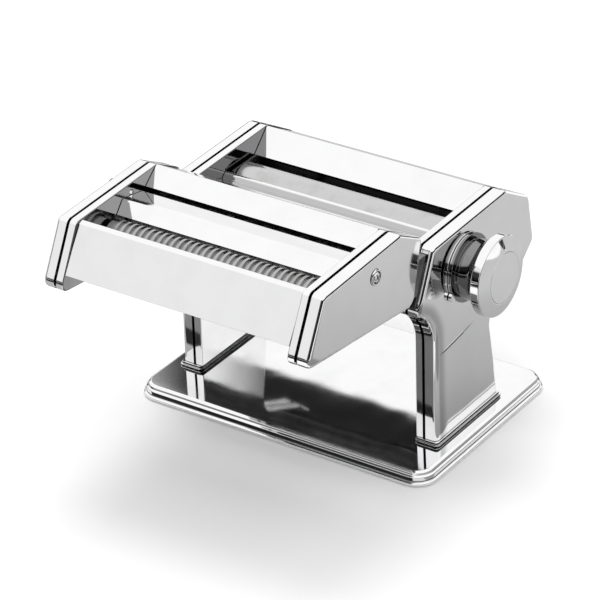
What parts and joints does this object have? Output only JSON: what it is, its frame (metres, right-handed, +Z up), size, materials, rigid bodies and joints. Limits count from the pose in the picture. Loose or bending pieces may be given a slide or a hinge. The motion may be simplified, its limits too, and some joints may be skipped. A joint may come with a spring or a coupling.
{
  "type": "pasta machine",
  "caption": "Hand-cranked pasta machine with smooth sheeting rollers, a pull-and-turn thickness dial and a lift-off cutting head with grooved rollers.",
  "frame": {"origin": "the middle of the whole footprint, at the height of the table", "axes": "+X towards the thickness dial, +Y from the cutting head towards the rear guide plate, +Z up"},
  "size_m": [0.2284, 0.2416, 0.17],
  "materials": {
    "chrome": "mirror-polished chromed sheet",
    "rollers": "ground and plated roller",
    "gears": "machined steel",
    "steel": "plain bright steel",
    "bush": "moulded bearing plastic",
    "rubber": "black rubber"
  },
  "bodies": {
    "frame": {"base_pan": "chrome", "front_left_rubber_foot": "rubber", "front_right_rubber_foot": "rubber", "rear_left_rubber_foot": "rubber", "rear_right_rubber_foot": "rubber", "left_foot_plate": "chrome", "right_foot_plate": "chrome", "left_side_plate": "chrome", "right_side_plate": "chrome", "left_cover": "chrome", "right_cover": "chrome", "rear_guide_plate": "chrome", "front_guide_plate": "chrome", "left_end_guide": "chrome", "right_end_guide": "chrome", "tie_rod": "steel", "rear_scraper": "steel", "left_rear_bush": "bush", "right_rear_bush": "bush", "left_head_rail": "chrome", "right_head_rail": "chrome", "index_ring": "chrome"},
    "carriage": {"left_bearing_block": "steel", "right_bearing_block": "steel", "scraper_bar": "steel", "front_scraper": "steel"},
    "front_roller": {"front_smooth_roller": "rollers", "front_roller_gear": "gears"},
    "rear_roller": {"rear_smooth_roller": "rollers", "rear_roller_gear": "gears", "drive_wheel": "gears"},
    "crank": {"crank_shaft": "steel", "drive_pinion": "gears"},
    "dial": {"dial_shaft": "steel", "dial_spring": "gears"},
    "knob": {"dial_knob": "chrome", "dial_cap": "chrome"},
    "cutter_head": {"left_head_plate": "chrome", "right_head_plate": "chrome", "left_head_cover": "chrome", "right_head_cover": "chrome", "left_head_screw": "steel", "right_head_screw": "steel", "left_head_hook": "chrome", "right_head_hook": "chrome", "head_front_plate": "chrome", "head_divider": "chrome", "head_rear_guard": "chrome", "front_leading_comb": "steel", "front_trailing_comb": "steel", "rear_leading_comb": "steel", "rear_trailing_comb": "steel"},
    "front_leading": {"front_leading_cutter": "gears", "front_leading_cutter_gear": "gears"},
    "front_trailing": {"front_trailing_cutter": "gears", "front_trailing_cutter_gear": "gears"},
    "rear_leading": {"rear_leading_cutter": "gears", "rear_leading_cutter_gear": "gears"},
    "rear_trailing": {"rear_trailing_cutter": "gears", "rear_trailing_cutter_gear": "gears"}
  },
  "joints": [
    {"name": "dial_turn", "type": "hinge", "parent": "frame", "child": "dial", "pos_m": [-0.00675, 0.04343, 0.116], "axis": [1, 0, 0], "range_deg": [-75, 75]},
    {"name": "dial_pull", "type": "slide", "parent": "dial", "child": "knob", "axis": [1, 0, 0], "range_m": [0, 0.004], "stiffness_N_per_m": 1500, "springref_m": -0.003, "deforming": ["dial_spring"]},
    {"name": "thickness_slide", "type": "slide", "parent": "frame", "child": "carriage", "axis": [0, 1, 0], "range_m": [-0.00121, 0.00121]},
    {"name": "front_roller_spin", "type": "hinge", "parent": "carriage", "child": "front_roller", "pos_m": [-0.00675, 0.05638, 0.12], "axis": [1, 0, 0], "continuous": true},
    {"name": "rear_roller_spin", "type": "hinge", "parent": "frame", "child": "rear_roller", "pos_m": [-0.00675, 0.08703, 0.12], "axis": [1, 0, 0], "continuous": true},
    {"name": "crank_spin", "type": "hinge", "parent": "frame", "child": "crank", "pos_m": [-0.00675, 0.07167, 0.10169], "axis": [1, 0, 0], "continuous": true},
    {"name": "head_lift", "type": "slide", "parent": "frame", "child": "cutter_head", "axis": [0, 0.4368, 0.8996], "range_m": [0, 0.045]},
    {"name": "front_leading_spin", "type": "hinge", "parent": "cutter_head", "child": "front_leading", "pos_m": [-0.00675, -0.09297, 0.147], "axis": [1, 0, 0], "continuous": true},
    {"name": "front_trailing_spin", "type": "hinge", "parent": "cutter_head", "child": "front_trailing", "pos_m": [-0.00675, -0.07497, 0.147], "axis": [1, 0, 0], "continuous": true},
    {"name": "rear_leading_spin", "type": "hinge", "parent": "cutter_head", "child": "rear_leading", "pos_m": [-0.00675, -0.04847, 0.147], "axis": [1, 0, 0], "continuous": true},
    {"name": "rear_trailing_spin", "type": "hinge", "parent": "cutter_head", "child": "rear_trailing", "pos_m": [-0.00675, -0.03047, 0.147], "axis": [1, 0, 0], "continuous": true}
  ],
  "couplings": [
    {"joint": "dial_turn", "follows": "thickness_slide", "rad_per_m": -1084.1},
    {"joint": "front_roller_spin", "follows": "rear_roller_spin", "ratio": -1},
    {"joint": "crank_spin", "follows": "rear_roller_spin", "ratio": -2},
    {"joint": "front_leading_spin", "follows": "front_trailing_spin", "ratio": -1},
    {"joint": "rear_trailing_spin", "follows": "rear_leading_spin", "ratio": -1}
  ]
}
